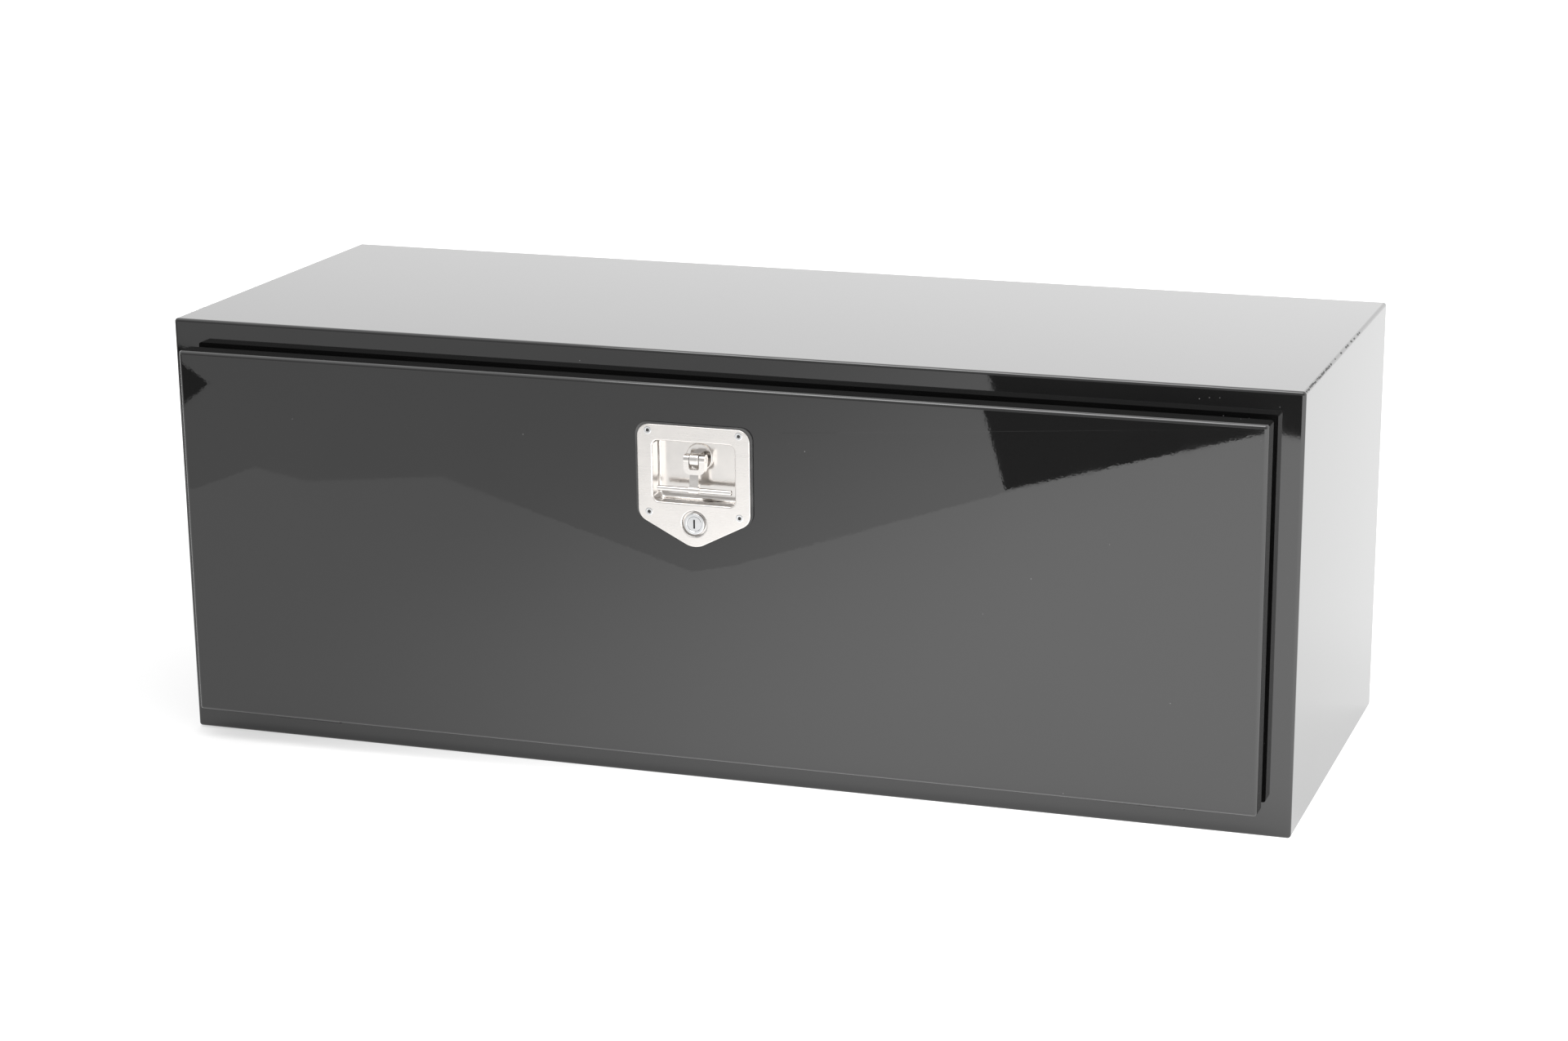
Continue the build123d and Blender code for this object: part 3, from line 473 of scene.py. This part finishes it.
def stage():
    """A pale floor, with the far paper and two dark sheets that the gloss door mirrors. Both are seen
    only in reflections: the far paper's glow is painted light and the dark sheets are painted shade.
    """
    far = FLOOR_HALF
    square = [(-far, -far), (far, -far), (far, far), (-far, far)]
    flat("floor", square, FLOOR_Z, paper("floor_paper", 1.0))
    far_edge = [
        (-3.4, -1.20),
        (-1.12, -1.24),
        (-1.10, -1.38),
        (-0.99, -1.33),
        (-0.82, -1.41),
        (-0.31, -1.05),
        (-0.27, -1.09),
        (-0.03, -1.57),
        (0.24, -2.01),
        (1.10, -3.41),
        (-3.4, -3.41),
    ]
    right_shade_sheet = [
        (-0.04, -1.57),
        (0.24, -2.01),
        (0.253, -1.94),
        (0.33, -1.90),
        (0.62, -2.63),
        (-0.46, -2.77),
        (-0.21, -2.05),
    ]
    left_shade_sheet = [(-1.42, -1.85), (-1.56, -2.00), (-2.30, -2.40), (-2.30, -1.30), (-1.37, -1.62)]
    paper_z = FLOOR_Z + SHEET_STEP
    flag_z = paper_z + SHEET_STEP
    # Dark sheets seen only in the gloss door's mirror: painted shade in its reflection
    shade_sheet_paint = Finish("shade_sheet_looks", Base_Color=gray(SHADE_SHEET_GRAY), Roughness=0.9).material
    mirrored = [
        flat("far_paper", far_edge, paper_z, paper("far_paper_looks", FAR_SHARE)),
        flat("shade_sheet_right", right_shade_sheet, flag_z, shade_sheet_paint),
        flat("shade_sheet_left", left_shade_sheet, flag_z, shade_sheet_paint),
    ]
    for sheet in mirrored:
        sheet.visible_camera = False
        sheet.visible_diffuse = False
        sheet.visible_shadow = False


def overhead_panel():
    """One large soft panel light above the box."""
    light = bpy.data.lights.new("overhead_panel", "AREA")
    light.shape = "RECTANGLE"
    light.size, light.size_y = PANEL_SIZE
    light.energy = PANEL_RADIANCE * math.pi * PANEL_SIZE[0] * PANEL_SIZE[1]
    panel = bpy.data.objects.new("overhead_panel", light)
    bpy.context.scene.collection.objects.link(panel)
    panel.location = PANEL_PLACE
    panel.rotation_euler = (PANEL_TARGET - PANEL_PLACE).to_track_quat("-Z", "Y").to_euler()


def room():
    """A bright room, dimmer to the left and in front."""
    world = bpy.data.worlds.new("studio")
    bpy.context.scene.world = world
    world.use_nodes = True
    nodes = world.node_tree.nodes
    links = world.node_tree.links
    split = nodes.new("ShaderNodeSeparateXYZ")
    links.new(nodes.new("ShaderNodeTexCoord").outputs["Generated"], split.inputs["Vector"])
    product = nodes.new("ShaderNodeMath")
    product.operation = "MULTIPLY"
    ramps = (("X", SKY_TURN_X, (SKY_LEFT, SKY_RIGHT)), ("Y", SKY_TURN_Y, (FRONT_SHARE, 1.0)))
    for index, (axis, turn, brightness) in enumerate(ramps):
        ramp = nodes.new("ShaderNodeMapRange")
        links.new(split.outputs[axis], ramp.inputs["Value"])
        ramp.inputs["From Min"].default_value, ramp.inputs["From Max"].default_value = turn
        ramp.inputs["To Min"].default_value, ramp.inputs["To Max"].default_value = brightness
        links.new(ramp.outputs["Result"], product.inputs[index])
    background = nodes["Background"]
    background.inputs["Color"].default_value = gray(1.0)
    links.new(product.outputs[0], background.inputs["Strength"])


def camera():
    """The camera, as fitted to the photograph, and how its picture is developed."""
    azimuth = math.radians(CAMERA_AZIMUTH)
    elevation = math.radians(CAMERA_ELEVATION)
    back = Vector((
        math.sin(azimuth) * math.cos(elevation),
        -math.cos(azimuth) * math.cos(elevation),
        math.sin(elevation),
    ))
    turn = (-back).to_track_quat("-Z", "Y").to_matrix()
    turn = turn @ Matrix.Rotation(math.radians(CAMERA_ROLL), 3, "Z")
    data = bpy.data.cameras.new("camera")
    data.lens = LENS
    data.sensor_width = SENSOR
    data.shift_x, data.shift_y = SHIFT
    data.clip_end = CLIP_END
    shooter = bpy.data.objects.new("camera", data)
    bpy.context.scene.collection.objects.link(shooter)
    shooter.matrix_world = Matrix.Translation(CAMERA_PLACE) @ turn.to_4x4()
    bpy.context.scene.camera = shooter
    bpy.context.scene.view_settings.view_transform = "Standard"


camera()
finish_cad_nodes()
stud_marks()
key_slot_shade()
weld_marks("left", -1, 3)
weld_marks("right", 1, 11)
spot_welds()
stage()
room()
overhead_panel()
